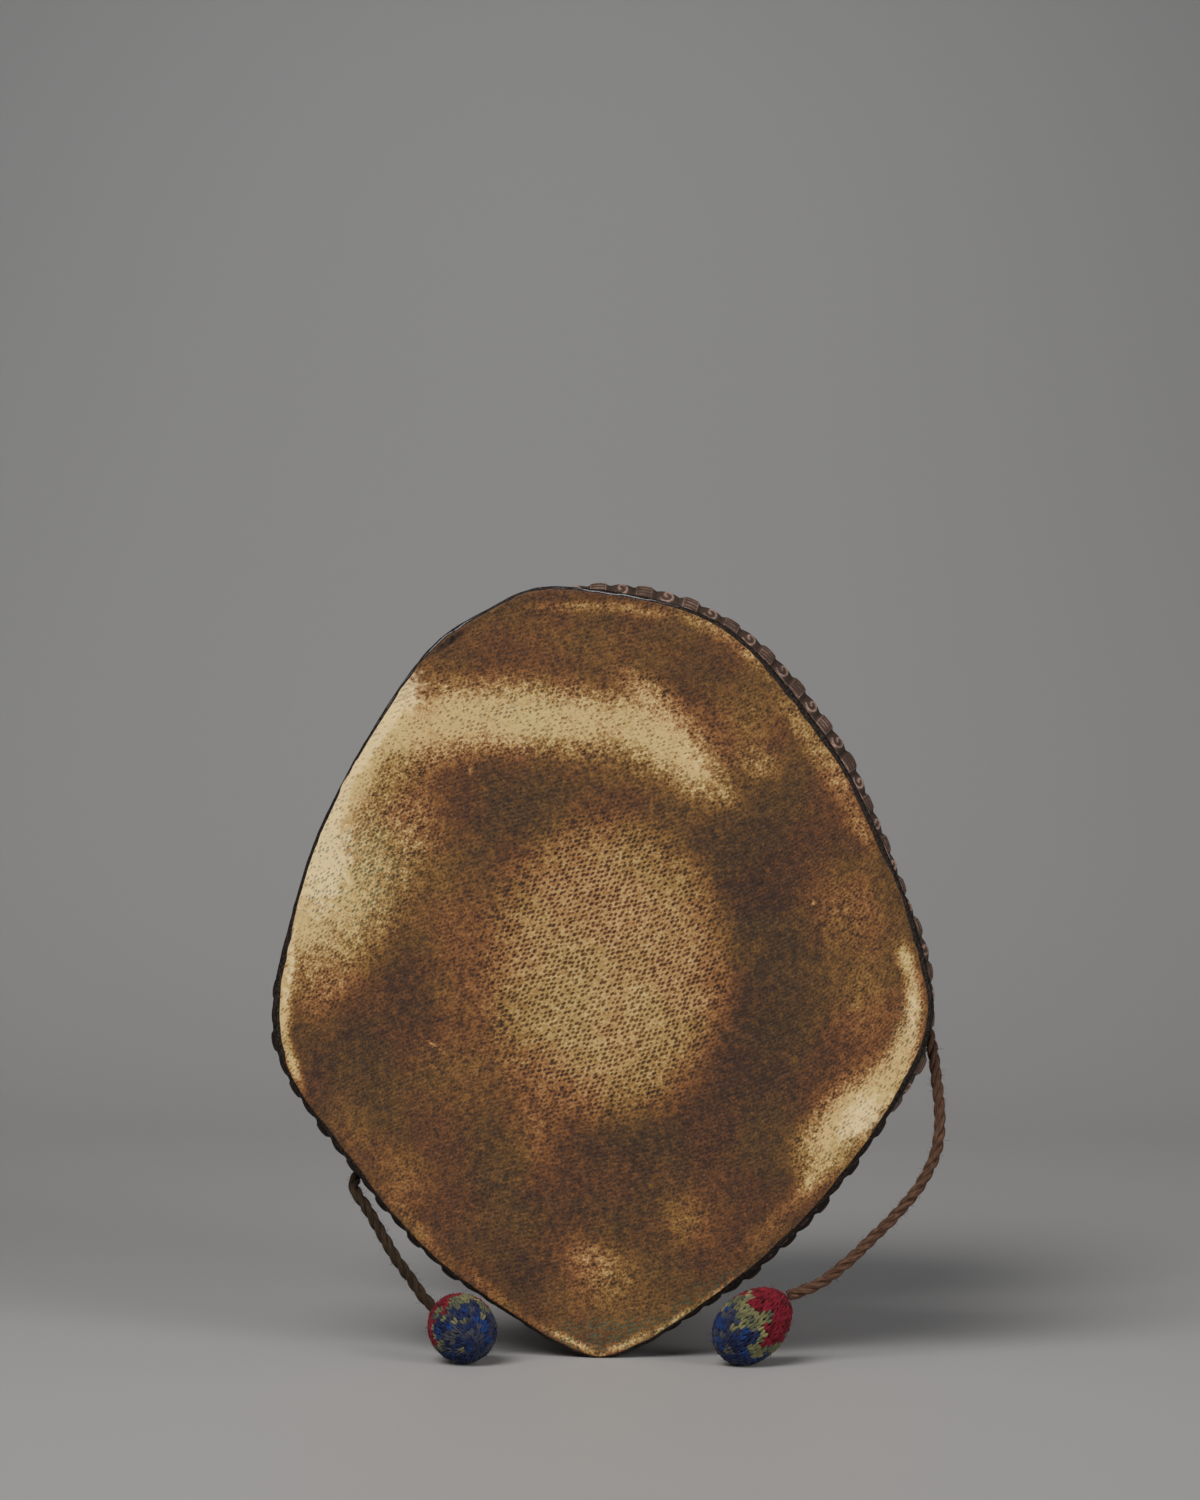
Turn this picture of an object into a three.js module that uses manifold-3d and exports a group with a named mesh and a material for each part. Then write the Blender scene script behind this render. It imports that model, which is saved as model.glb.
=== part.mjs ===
// A damaru: a hand drum of two hollow bowls joined crown to crown at a narrow waist, with a hide stretched
// over each, a repousse copper band round each rim, and two yarn-covered beaters on cords from the waist.
// Millimetres, +Z up. The front head looks along -Y. The origin is on the surface that the drum stands on.
import * as THREE from 'three';
import { mergeVertices } from 'three/addons/utils/BufferGeometryUtils.js';
import Module from 'manifold-3d';

// The whole drum
const HALF_DEPTH = 45; // from the middle of the waist to the outer face of each hide
const HEAD_HEIGHT = 73; // the heads' middle above the ground
const HEAD_X = 0.2; // the heads' middle to the right of the origin, which centres the drum's box on it
const GAP = 0.3; // between pieces that touch

// The edge of each head, counter-clockwise from its tip:
// [degrees from +X towards +Z, distance from the middle]
const FRONT_EDGE = [
  [-90, 72.4], [-84, 70.3], [-79, 67.8], [-60, 61.6], [-36, 59], [-12, 62], [2, 60.3], [24, 57.5], [48, 60.8],
  [72, 68.6], [96, 71.9], [108, 70.3], [120, 66.9], [144, 59.4], [166, 58.2], [192, 62.2], [216, 59],
  [240, 62.2], [259, 67.9], [264.5, 70.4],
];
const BACK_EDGE = [
  [-90, 72.4], [-84, 70.3], [-79, 67.8], [-60, 61.6], [-38, 60.8], [-20, 62.7], [-4, 59.3], [12, 55],
  [28, 54.8],
  [45, 58], [66, 64.7], [82, 69.4], [96, 71.2], [108, 70], [120, 66.7], [144, 59.2], [166, 57.8], [192, 61],
  [216, 58.5], [240, 61.8], [259, 67.9], [264.5, 70.4],
];

// Hides
const HIDE = 1; // thickness
const LAP_LENGTH = 2.9; // how far the lap comes down the bowl, measured from the bowl's rim
const LAP_OUT = 0.9; // from the edge of the head's face to the outside of the lap
const HIDE_COLUMNS = 60;

// Bowls
const WALL = 4.5;
const BOWL_DEPTH = 36.7; // from the rim to the neck
const CROWN = 5; // thickness of the closed crown, with the neck behind it
const NECK_RADIUS = 17;
const NECK_SHARE = 0.28; // the neck's size as a share of the rim's
const BOWL_COLUMNS = 36;
const OUTER_STEPS = 7; // rings down the outer wall
const INNER_STEPS = 5;

const RIM_DEPTH = HALF_DEPTH - HIDE - GAP; // the bowl's rim, from the middle of the waist

// Repousse bands
const BOSSES = 88;
const BAND_TOP = 3.2; // from the bowl's rim to the band's near edge
const BAND_HEIGHT = 10.8;
const SHEET = 1; // thickness of the band between bosses
const BOSS_HEIGHT = 1.9; // on the back band
const FLAT_BOSS = 0.6; // the front band's bosses stand lowest over its top and right
const TALL_BOSS = 2.3; // and highest on its lower left
const TALL_SIDE = 255; // degrees
const VALLEY = 0.6; // the height between bosses, as a share of theirs
const TIP_WEAR = 0.5; // the share of a boss worn away where the drum stands
const TIP_WIDTH = 14; // degrees to each side of the tip
const INSIDE_ROOM = 0.4; // the band's straight back keeps clear of the bowl's bulge

// Cord binding on the waist
const BINDING_TURNS = 6;
const CORD = 2.1; // diameter
const BINDING_OUT = 21.5; // radius over the turns

// Beaters: eggs that stand in front of the front head, with a cord into the upper, far end
const BEATER_RADIUS = 6.35;
const BEATER_HALF_LENGTH = 8.6;
const BEATER_LEFT = { centre: [-25.3, -53.4, 6.7], towardsCord: [-0.36, 0.9, 0.2] };
const BEATER_RIGHT = { centre: [29.4, -53, 7.46], towardsCord: [0.69, 0.43, 0.585] };

// Cord routes, from the waist to the beater
const CORD_LEFT = [
  [-15.8, -0.5, 58.2], [-18.2, -1.4, 56.3], [-22.1, -3.6, 53], [-26.6, -7, 49.2], [-31.6, -12.2, 45],
  [-36.6, -18.6, 40.8], [-41.2, -25.6, 36.8], [-45, -31.6, 34.3], [-47, -36.4, 32.7],
  [-46.6, -39.7, 30.7], [-44.6, -41.4, 28.2], [-41.9, -41.4, 23.6], [-40.4, -42.1, 21.2],
  [-38.4, -42.5, 17.9], [-36, -41.6, 14.5], [-34.4, -41.5, 12.1], [-32.8, -42.1, 10.2],
  [-31.1, -43.2, 9], [-28.6, -45.2, 8.3],
];
const CORD_RIGHT = [
  [22.6, -0.5, 71.2], [25.9, -1, 71], [31.4, -3.2, 70.7], [38.4, -7.6, 70.3], [45.4, -13.6, 69.6],
  [51.6, -19.9, 68.4], [56.4, -26, 66.3], [60.2, -31.2, 63.9], [62, -35, 60.3], [62.9, -37.6, 56.1],
  [63.5, -39, 51.3], [64, -40.2, 46.3], [63.8, -41.4, 41.3], [62.6, -42.7, 37.1], [59.8, -44, 32.1],
  [55.7, -45.2, 27.3], [51.2, -46.3, 22.9], [46.7, -47.3, 18.6], [41.7, -48.2, 14.9],
  [35.9, -49.1, 12.5],
];

const MATERIALS = {
  hide: { color: 0x9a7446, roughness: 0.7, metalness: 0 },
  bowl: { color: 0x4a3526, roughness: 0.6, metalness: 0 },
  copper: { color: 0x6b4c3e, roughness: 0.45, metalness: 0.8 },
  cord: { color: 0x5a4334, roughness: 0.95, metalness: 0 },
  yarn: { color: 0x8c2a30, roughness: 0.95, metalness: 0 },
};

const wasm = await Module();
wasm.setup();

const toPoint = ([degrees, distance]) => {
  const angle = THREE.MathUtils.degToRad(degrees);
  return new THREE.Vector3(distance * Math.cos(angle), 0, distance * Math.sin(angle));
};
function makeHead(side, edge) {
  const curve = new THREE.CatmullRomCurve3(edge.map(toPoint), true, 'catmullrom', 0.5);
  curve.arcLengthDivisions = 2000;
  return { side, curve };
}
const HEADS = { front: makeHead(-1, FRONT_EDGE), back: makeHead(1, BACK_EDGE) };

// Depth below the bowl's rim, and the size there as a share of the head's, along the bowl's outer wall
const outerWall = new THREE.CubicBezierCurve(
  new THREE.Vector2(0, 1),
  new THREE.Vector2(15, 0.955),
  new THREE.Vector2(32, 0.72),
  new THREE.Vector2(BOWL_DEPTH, NECK_SHARE),
);
const innerWall = new THREE.CubicBezierCurve(
  new THREE.Vector2(0, 1),
  new THREE.Vector2(13, 0.955),
  new THREE.Vector2(27, 0.72),
  new THREE.Vector2(BOWL_DEPTH - CROWN, 0.2),
);

function wallShareAt(depth) {
  let low = 0;
  let high = 1;
  for (let step = 0; step < 24; step += 1) {
    const middle = (low + high) / 2;
    if (outerWall.getPoint(middle).x < depth) low = middle;
    else high = middle;
  }
  return outerWall.getPoint(low).y;
}

// A point on one of the drum's rings. turn runs from 0 to 1 round the head from its tip, share shrinks the
// head's outline, out moves it along its normal, and round turns it into the neck's circle.
function ringPoint({ curve }, turn, { share = 1, out = 0, round = 0, depth }) {
  const edge = curve.getPointAt(turn);
  const tangent = curve.getTangentAt(turn);
  const outward = new THREE.Vector3(tangent.z, 0, -tangent.x);
  const shaped = edge.clone().multiplyScalar(share).addScaledVector(outward, out);
  const circle = edge.clone().setLength((NECK_RADIUS / NECK_SHARE) * share + out);
  const point = shaped.lerp(circle, round);
  point.y = depth;
  return point;
}

// A solid turned on the drum's axis, with its circles pulled to the head's outline. rows(column) gives the
// rings for one column, and depth counts from the middle of the waist towards the head. A row with share and
// out of 0 lies on the axis.
function headSolid(columns, head, rows) {
  const count = rows(0).length;
  const blank = Array.from({ length: count }, (_, row) => new THREE.Vector2(row + 1, row));
  const geometry = new THREE.LatheGeometry(blank, columns);
  const position = geometry.attributes.position;
  for (let segment = 0; segment <= columns; segment += 1) {
    const column = segment % columns;
    rows(column).forEach((ring, row) => {
      const point = ringPoint(head, column / columns, ring);
      position.setXYZ(segment * count + row, point.x + HEAD_X, head.side * point.y, point.z + HEAD_HEIGHT);
    });
  }
  return facingOut(geometry);
}

// Only positions, with shared vertices merged, and the triangles turned so that the volume is positive
function facingOut(geometry) {
  geometry.deleteAttribute('normal');
  geometry.deleteAttribute('uv');
  const merged = mergeVertices(geometry, 1e-5);
  const position = merged.attributes.position;
  const corners = [new THREE.Vector3(), new THREE.Vector3(), new THREE.Vector3()];
  const kept = [];
  let volume = 0;
  for (let first = 0; first < merged.index.count; first += 3) {
    const face = [0, 1, 2].map((corner) => merged.index.getX(first + corner));
    if (new Set(face).size < 3) continue;
    face.forEach((vertex, corner) => corners[corner].fromBufferAttribute(position, vertex));
    volume += corners[0].dot(corners[1].clone().cross(corners[2])) / 6;
    kept.push(face);
  }
  merged.setIndex((volume > 0 ? kept : kept.map(([a, b, c]) => [a, c, b])).flat());
  return merged;
}

function toManifold(geometry) {
  return new wasm.Manifold(
    new wasm.Mesh({
      numProp: 3,
      vertProperties: new Float32Array(geometry.attributes.position.array),
      triVerts: new Uint32Array(geometry.index.array),
    }),
  );
}

// The solid without what lies below the ground: the worn flat that the drum stands on
function standOnGround(geometry) {
  const block = new THREE.BoxGeometry(400, 400, 20).translate(0, 0, -10);
  const cut = toManifold(geometry).subtract(toManifold(facingOut(block))).getMesh();
  const result = new THREE.BufferGeometry();
  result.setAttribute('position', new THREE.Float32BufferAttribute(cut.vertProperties, 3));
  result.setIndex(Array.from(cut.triVerts));
  return result;
}

const drum = new THREE.Group();

function add(name, geometry, material) {
  const mesh = new THREE.Mesh(geometry, new THREE.MeshStandardMaterial(MATERIALS[material]));
  mesh.name = name;
  drum.add(mesh);
  return mesh;
}

function bowl(head) {
  const wall = (curve, steps, out) =>
    Array.from({ length: steps + 1 }, (_, step) => {
      const { x, y } = curve.getPoint(step / steps);
      const round = THREE.MathUtils.smoothstep(step / steps, 0.45, 1);
      return { depth: RIM_DEPTH - x, share: y, out, round };
    });
  const rings = [
    { depth: GAP / 2, share: 0 },
    { depth: GAP / 2, share: NECK_SHARE, round: 1 },
    ...wall(outerWall, OUTER_STEPS, 0).reverse(),
    ...wall(innerWall, INNER_STEPS, -WALL),
    { depth: RIM_DEPTH - BOWL_DEPTH + CROWN, share: 0 },
  ];
  return headSolid(BOWL_COLUMNS, head, () => rings);
}

function hide(head) {
  const lapTop = HALF_DEPTH - 1.3;
  const lapEnd = RIM_DEPTH - LAP_LENGTH;
  const share = wallShareAt(LAP_LENGTH);
  const rings = [
    { depth: HALF_DEPTH, share: 0 },
    { depth: HALF_DEPTH },
    { depth: HALF_DEPTH - 0.4, out: LAP_OUT - 0.4 },
    { depth: lapTop, out: LAP_OUT },
    { depth: lapEnd, share, out: LAP_OUT },
    { depth: lapEnd, share, out: GAP },
    { depth: RIM_DEPTH + GAP, out: GAP },
    { depth: RIM_DEPTH + GAP, share: 0 },
  ];
  return standOnGround(headSolid(HIDE_COLUMNS, head, () => rings));
}

function bossHeight({ side, curve }, turn) {
  const { x, z } = curve.getPointAt(turn);
  const degrees = THREE.MathUtils.radToDeg(Math.atan2(z, x));
  const near = 0.5 + 0.5 * Math.cos(THREE.MathUtils.degToRad(degrees - TALL_SIDE));
  const tall = FLAT_BOSS + (TALL_BOSS - FLAT_BOSS) * THREE.MathUtils.smoothstep(near, 0.35, 0.85);
  const wear = TIP_WEAR * Math.exp(-(((degrees + 90) / TIP_WIDTH) ** 2));
  return (side < 0 ? tall : BOSS_HEIGHT) * (1 - wear);
}

function band(head) {
  const ring = (below, out) => ({ depth: RIM_DEPTH - below, share: wallShareAt(below), out: GAP + out });
  const near = BAND_TOP;
  const far = BAND_TOP + BAND_HEIGHT;
  const rows = (column) => {
    const raised = bossHeight(head, column / (2 * BOSSES)) * (column % 2 === 0 ? 1 : VALLEY);
    return [
      ring(near, INSIDE_ROOM),
      ring(near, SHEET),
      ring(near + 1.7, SHEET + raised),
      ring(near + 5, SHEET + raised * 0.75),
      ring(near + 7.6, SHEET),
      ring(far, SHEET + 0.6),
      ring(far, INSIDE_ROOM),
      ring(near, INSIDE_ROOM),
    ];
  };
  return standOnGround(headSolid(2 * BOSSES, head, rows));
}

function waistBinding() {
  const halfWidth = (BINDING_TURNS * CORD) / 2;
  const inside = NECK_RADIUS + GAP;
  const profile = [
    new THREE.Vector2(inside, -halfWidth),
    new THREE.Vector2(BINDING_OUT - 1, -halfWidth),
    new THREE.Vector2(BINDING_OUT, 1.2 * CORD - halfWidth),
    new THREE.Vector2(BINDING_OUT, halfWidth - 1.2 * CORD),
    new THREE.Vector2(BINDING_OUT - 1, halfWidth),
    new THREE.Vector2(inside, halfWidth),
    new THREE.Vector2(inside, -halfWidth),
  ];
  return facingOut(new THREE.LatheGeometry(profile, 24));
}

function beater() {
  const steps = 8;
  const profile = Array.from({ length: steps + 1 }, (_, step) => {
    const angle = (Math.PI * step) / steps - Math.PI / 2;
    const taper = 1 - 0.1 * Math.sin(angle); // a little slimmer towards the cord
    return new THREE.Vector2(BEATER_RADIUS * Math.cos(angle) * taper, BEATER_HALF_LENGTH * Math.sin(angle));
  });
  profile[0].x = 0;
  profile[steps].x = 0;
  return facingOut(new THREE.LatheGeometry(profile, 14));
}

function cord(route) {
  const curve = new THREE.CatmullRomCurve3(route.map((point) => new THREE.Vector3(...point)));
  const section = new THREE.Shape();
  for (let corner = 0; corner < 8; corner += 1) {
    const angle = (Math.PI * corner) / 4;
    section[corner ? 'lineTo' : 'moveTo']((CORD / 2) * Math.cos(angle), (CORD / 2) * Math.sin(angle));
  }
  const steps = Math.round(curve.getLength() / (2.4 * CORD));
  return facingOut(new THREE.ExtrudeGeometry(section, { steps, extrudePath: curve, bevelEnabled: false }));
}

function addBeater(name, { centre, towardsCord }) {
  const mesh = add(name, beater(), 'yarn');
  mesh.position.set(...centre);
  const cordWay = new THREE.Vector3(...towardsCord).normalize();
  mesh.quaternion.setFromUnitVectors(new THREE.Vector3(0, 1, 0), cordWay);
}

Object.entries(HEADS).forEach(([end, head]) => {
  add(`${end}_bowl`, bowl(head), 'bowl');
  add(`${end}_skin`, hide(head), 'hide');
  add(`${end}_band`, band(head), 'copper');
});
add('waist_binding', waistBinding(), 'cord').position.set(HEAD_X, 0, HEAD_HEIGHT);
add('cord_left', cord(CORD_LEFT), 'cord');
add('cord_right', cord(CORD_RIGHT), 'cord');
addBeater('beater_left', BEATER_LEFT);
addBeater('beater_right', BEATER_RIGHT);

export default drum;
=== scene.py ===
import itertools
import math

import bpy
import numpy as np
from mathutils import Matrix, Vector


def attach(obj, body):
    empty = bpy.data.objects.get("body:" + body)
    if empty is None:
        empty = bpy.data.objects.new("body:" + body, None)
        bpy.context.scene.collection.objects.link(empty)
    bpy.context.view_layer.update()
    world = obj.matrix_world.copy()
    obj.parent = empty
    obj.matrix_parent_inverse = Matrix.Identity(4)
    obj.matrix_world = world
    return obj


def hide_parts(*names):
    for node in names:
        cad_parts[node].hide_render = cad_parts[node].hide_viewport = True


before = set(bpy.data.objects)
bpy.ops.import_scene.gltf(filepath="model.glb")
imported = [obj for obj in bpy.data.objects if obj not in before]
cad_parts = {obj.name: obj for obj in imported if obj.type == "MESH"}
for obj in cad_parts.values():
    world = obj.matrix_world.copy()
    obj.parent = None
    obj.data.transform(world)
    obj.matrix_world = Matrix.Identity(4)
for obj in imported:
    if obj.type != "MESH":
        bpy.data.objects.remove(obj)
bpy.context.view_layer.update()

MM = 0.001

# The drum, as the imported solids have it
HALF_DEPTH = 45.0  # from the middle of the waist to the outer face of each hide
HEAD_HEIGHT = 73.0  # the heads' middle above the ground
HEAD_X = 0.2
GAP = 0.3  # between pieces that touch
MIDDLE = 0.004  # the size of the innermost ring, as a share of the head's, which a fan then closes
# An edge runs counter-clockwise from the tip: degrees from +X towards +Z, distance from the head's middle
FRONT_EDGE = [
    (-90, 72.4), (-84, 70.3), (-79, 67.8), (-60, 61.6), (-36, 59), (-12, 62), (2, 60.3), (24, 57.5),
    (48, 60.8), (72, 68.6), (96, 71.9), (108, 70.3), (120, 66.9), (144, 59.4), (166, 58.2), (192, 62.2),
    (216, 59), (240, 62.2), (259, 67.9), (264.5, 70.4),
]
BACK_EDGE = [
    (-90, 72.4), (-84, 70.3), (-79, 67.8), (-60, 61.6), (-38, 60.8), (-20, 62.7), (-4, 59.3), (12, 55),
    (28, 54.8), (45, 58), (66, 64.7), (82, 69.4), (96, 71.2), (108, 70), (120, 66.7), (144, 59.2),
    (166, 57.8), (192, 61), (216, 58.5), (240, 61.8), (259, 67.9), (264.5, 70.4),
]
HIDE = 1.0
LAP_LENGTH, LAP_OUT, ROLL_DEPTH = 2.9, 0.9, 1.3
RIM_DEPTH = HALF_DEPTH - HIDE - GAP
BOWL_DEPTH, WALL, CROWN = 36.7, 4.5, 5.0
NECK_RADIUS, NECK_SHARE = 17.0, 0.28
BOSSES = 88
BAND_TOP, BAND_HEIGHT, SHEET = 3.2, 10.8, 1.0
BOSS_HEIGHT = 1.9  # on the back band
# On the front band: over its top and right, and at TALL_SIDE degrees
FLAT_BOSS, TALL_BOSS, TALL_SIDE = 0.6, 2.3, 255
VALLEY = 0.6  # the height between bosses, as a share of theirs
TIP_WEAR, TIP_WIDTH = 0.5, 14  # the share worn away at the tip, and the degrees to each side
CORD = 2.1
BINDING_TURNS, BINDING_OUT = 6, 21.5
BEATER_RADIUS, BEATER_HALF_LENGTH = 6.35, 8.6
BEATERS = {  # centre, direction towards the cord
    "left": ((-25.3, -53.4, 6.7), (-0.36, 0.9, 0.2)),
    "right": ((29.4, -53, 7.46), (0.69, 0.43, 0.585)),
}
CORD_ROUTES = {  # from the waist to the beater
    "left": [
        (-15.8, -0.5, 58.2), (-18.2, -1.4, 56.3), (-22.1, -3.6, 53), (-26.6, -7, 49.2), (-31.6, -12.2, 45),
        (-36.6, -18.6, 40.8), (-41.2, -25.6, 36.8), (-45, -31.6, 34.3), (-47, -36.4, 32.7),
        (-46.6, -39.7, 30.7), (-44.6, -41.4, 28.2), (-41.9, -41.4, 23.6), (-40.4, -42.1, 21.2),
        (-38.4, -42.5, 17.9), (-36, -41.6, 14.5), (-34.4, -41.5, 12.1), (-32.8, -42.1, 10.2),
        (-31.1, -43.2, 9), (-28.6, -45.2, 8.3),
    ],
    "right": [
        (22.6, -0.5, 71.2), (25.9, -1, 71), (31.4, -3.2, 70.7), (38.4, -7.6, 70.3), (45.4, -13.6, 69.6),
        (51.6, -19.9, 68.4), (56.4, -26, 66.3), (60.2, -31.2, 63.9), (62, -35, 60.3), (62.9, -37.6, 56.1),
        (63.5, -39, 51.3), (64, -40.2, 46.3), (63.8, -41.4, 41.3), (62.6, -42.7, 37.1), (59.8, -44, 32.1),
        (55.7, -45.2, 27.3), (51.2, -46.3, 22.9), (46.7, -47.3, 18.6), (41.7, -48.2, 14.9),
        (35.9, -49.1, 12.5),
    ],
}


# ---- camera, floor and light

CAMERA_DISTANCE = 1200.0  # to the front head's middle
CAMERA_AZIMUTH = math.radians(3.8)
CAMERA_ELEVATION = math.radians(3.8)
CAMERA_LENS = 153.0
AIM_ABOVE = 41.7  # how far above the head's middle the camera aims


def add_object(name, data):
    made = bpy.data.objects.new(name, data)
    bpy.context.scene.collection.objects.link(made)
    return made


def make_camera():
    head = np.array([HEAD_X, -HALF_DEPTH, HEAD_HEIGHT])
    level = math.cos(CAMERA_ELEVATION)
    back = (math.sin(CAMERA_AZIMUTH) * level, -math.cos(CAMERA_AZIMUTH) * level, math.sin(CAMERA_ELEVATION))
    data = bpy.data.cameras.new("camera")
    data.lens = CAMERA_LENS
    data.clip_start, data.clip_end = 0.05, 20
    camera = add_object("camera", data)
    camera.location = (head + np.array(back) * CAMERA_DISTANCE) * MM
    pitch = CAMERA_ELEVATION - math.atan(AIM_ABOVE / CAMERA_DISTANCE)
    camera.rotation_euler = (math.pi / 2 - pitch, 0, CAMERA_AZIMUTH)
    bpy.context.scene.camera = camera


def make_light(name, place, aim, size, power, spread, colour=(1, 1, 1)):
    """A soft square light, its place, aim and size in metres and its spread in degrees."""
    data = bpy.data.lights.new(name, "AREA")
    data.shape, data.size, data.energy, data.color = "SQUARE", size, power, colour
    data.spread = math.radians(spread)
    light = add_object(name, data)
    light.location = place
    light.rotation_euler = (Vector(aim) - Vector(place)).to_track_quat("-Z", "Y").to_euler()


def make_stage():
    """A pale floor that sweeps up into a backdrop well behind the drum, and the studio's soft light."""
    front, turn, radius, top, half_width, steps = -1.6, 0.42, 0.5, 2.2, 2.5, 24
    angles = np.linspace(0, math.pi / 2, steps)
    profile = [(front, 0.0)]
    profile += [(turn + radius * math.sin(a), radius - radius * math.cos(a)) for a in angles]
    profile += [(turn + radius, top)]
    points = [(x, y, z) for y, z in profile for x in (-half_width, half_width)]
    faces = [(i, i + 1, i + 3, i + 2) for i in range(0, len(points) - 2, 2)]
    mesh = bpy.data.meshes.new("floor")
    mesh.from_pydata(points, [], faces)
    mesh.polygons.foreach_set("use_smooth", [True] * len(faces))
    floor = add_object("floor", mesh)
    shade = Shade("floor")
    shade.finish((170, 169, 168), roughness=0.5)
    mesh.materials.append(shade.material)

    world = bpy.data.worlds.new("world")
    world.use_nodes = True
    world.node_tree.nodes["Background"].inputs["Color"].default_value = (0.9, 0.92, 1, 1)
    world.node_tree.nodes["Background"].inputs["Strength"].default_value = 0.09
    bpy.context.scene.world = world
    bpy.context.scene.view_settings.view_transform = "Standard"
    make_light("key", (-0.36, -0.8, 0.92), (0, -0.08, 0.05), 0.8, 2.6, 68, (1, 0.985, 0.96))
    make_light("fill", (0.9, -0.9, 0.5), (0.02, 0, 0.07), 0.8, 0.85, 40)
    make_light("backdrop", (-0.1, 0.25, 0.9), (-0.1, 0.8, 0.32), 0.5, 0.42, 70)


# ---- materials

def linear(colour):
    """A colour given as 0 to 255, as the linear values that a shader takes."""
    share = np.array(colour) / 255
    return (*np.where(share <= 0.04045, share / 12.92, ((share + 0.055) / 1.055) ** 2.4), 1.0)


class Shade:
    """A node material, built from short calls. Sizes are in millimetres of the object's own space."""

    def __init__(self, name):
        self.material = bpy.data.materials.new(name)
        self.material.use_nodes = True
        self.tree = self.material.node_tree
        self.shader = self.tree.nodes["Principled BSDF"]
        self.place = self.node("ShaderNodeTexCoord").outputs["Object"]
        self.normal = None

    def node(self, kind, **settings):
        made = self.tree.nodes.new(kind)
        for name, value in settings.items():
            setattr(made, name, value)
        return made

    def put(self, value, socket):
        """Links a socket, or sets a number, vector or colour (0 to 255), into a node's socket."""
        if isinstance(value, bpy.types.NodeSocket):
            self.tree.links.new(value, socket)
        elif socket.type == "RGBA":
            socket.default_value = linear(value)
        else:
            socket.default_value = value

    def fill(self, made, **values):
        for name, value in values.items():
            self.put(value, made.inputs[name])

    def point(self, name, output="Fac"):
        return self.node("ShaderNodeAttribute", attribute_name=name).outputs[output]

    def math(self, operation, first, second=0.0):
        made = self.node("ShaderNodeMath", operation=operation)
        self.put(first, made.inputs[0])
        self.put(second, made.inputs[1])
        return made.outputs[0]

    def step(self, value, low, high, start=0.0, end=1.0):
        """start below low, end above high, and smooth between them."""
        made = self.node("ShaderNodeMapRange", interpolation_type="SMOOTHSTEP")
        for name, number in (("From Min", low), ("From Max", high), ("To Min", start), ("To Max", end)):
            made.inputs[name].default_value = number
        self.put(value, made.inputs["Value"])
        return made.outputs["Result"]

    def mix(self, amount, first, second):
        made = self.node("ShaderNodeMix", data_type="RGBA")
        self.put(amount, made.inputs["Factor"])
        self.put(first, made.inputs[6])
        self.put(second, made.inputs[7])
        return made.outputs[2]

    def ramp(self, value, stops):
        """A colour by value, from stops of value and colour."""
        made = self.node("ShaderNodeValToRGB")
        elements = made.color_ramp.elements
        for index, (at, colour) in enumerate(stops):
            stop = elements[index] if index < 2 else elements.new(at)
            stop.position, stop.color = at, linear(colour)
        self.put(value, made.inputs[0])
        return made.outputs[0]

    def times(self, first, second):
        return self.math("MULTIPLY", first, second)

    def centred(self, value, strength):
        """A pattern of 0 to 1 as one of either side of zero."""
        return self.times(self.math("SUBTRACT", value, 0.5), strength)

    def total(self, *values):
        whole = values[0]
        for value in values[1:]:
            whole = self.math("ADD", whole, value)
        return whole

    def stretch(self, sizes, turn=(0, 0, 0)):
        """The place in units of sizes, so that a pattern is drawn out along the larger ones."""
        made = self.node("ShaderNodeMapping")
        self.fill(made, Vector=self.place, Rotation=[math.radians(angle) for angle in turn],
                  Scale=[1 / (size * MM) for size in sizes])
        return made.outputs["Vector"]

    def noise(self, size=1.0, detail=3.0, rough=0.5, place=None):
        made = self.node("ShaderNodeTexNoise")
        scale, place = (1 / (size * MM), self.place) if place is None else (1.0, place)
        self.fill(made, Scale=scale, Detail=detail, Roughness=rough, Vector=place)
        return made.outputs["Fac"]

    def cells(self, place, randomness):
        """Distance to the nearest cell's middle, and that cell's random colour."""
        made = self.node("ShaderNodeTexVoronoi")
        self.fill(made, Scale=1.0, Randomness=randomness, Vector=place)
        return made.outputs["Distance"], made.outputs["Color"]

    def bump(self, height, depth, strength=1.0):
        made = self.node("ShaderNodeBump")
        self.fill(made, Distance=depth * MM, Strength=strength, Height=height)
        if self.normal is not None:
            self.put(self.normal, made.inputs["Normal"])
        self.normal = made.outputs["Normal"]

    def finish(self, colour, **sockets):
        self.put(colour, self.shader.inputs["Base Color"])
        for name, value in sockets.items():
            self.put(value, self.shader.inputs[name.replace("_", " ").title().replace("Ior", "IOR")])
        if self.normal is not None:
            self.put(self.normal, self.shader.inputs["Normal"])
        return self.material


# The stained hide's colours by its tone, in its redder and its greener parts
RED_HIDE = [
    (0.0, (36, 22, 15)), (0.17, (58, 36, 23)), (0.31, (92, 56, 28)), (0.44, (124, 78, 38)),
    (0.57, (142, 98, 54)), (0.71, (160, 122, 76)), (0.86, (177, 147, 102)), (1.0, (190, 165, 123)),
]
OLIVE_HIDE = [
    (0.0, (38, 26, 17)), (0.17, (60, 41, 23)), (0.31, (92, 62, 28)), (0.44, (122, 84, 37)),
    (0.57, (139, 103, 52)), (0.71, (158, 127, 76)), (0.86, (176, 150, 103)), (1.0, (189, 167, 124)),
]
CHALK, VERDIGRIS = (206, 189, 158), (58, 92, 70)
# Soot of the lap, that soot worn thin, and the light colour of a painted highlight on the rolled edge
SOOT, WORN_SOOT, HIGHLIGHT_COLOUR = (12, 10, 9), (54, 42, 34), (140, 139, 142)


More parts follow.
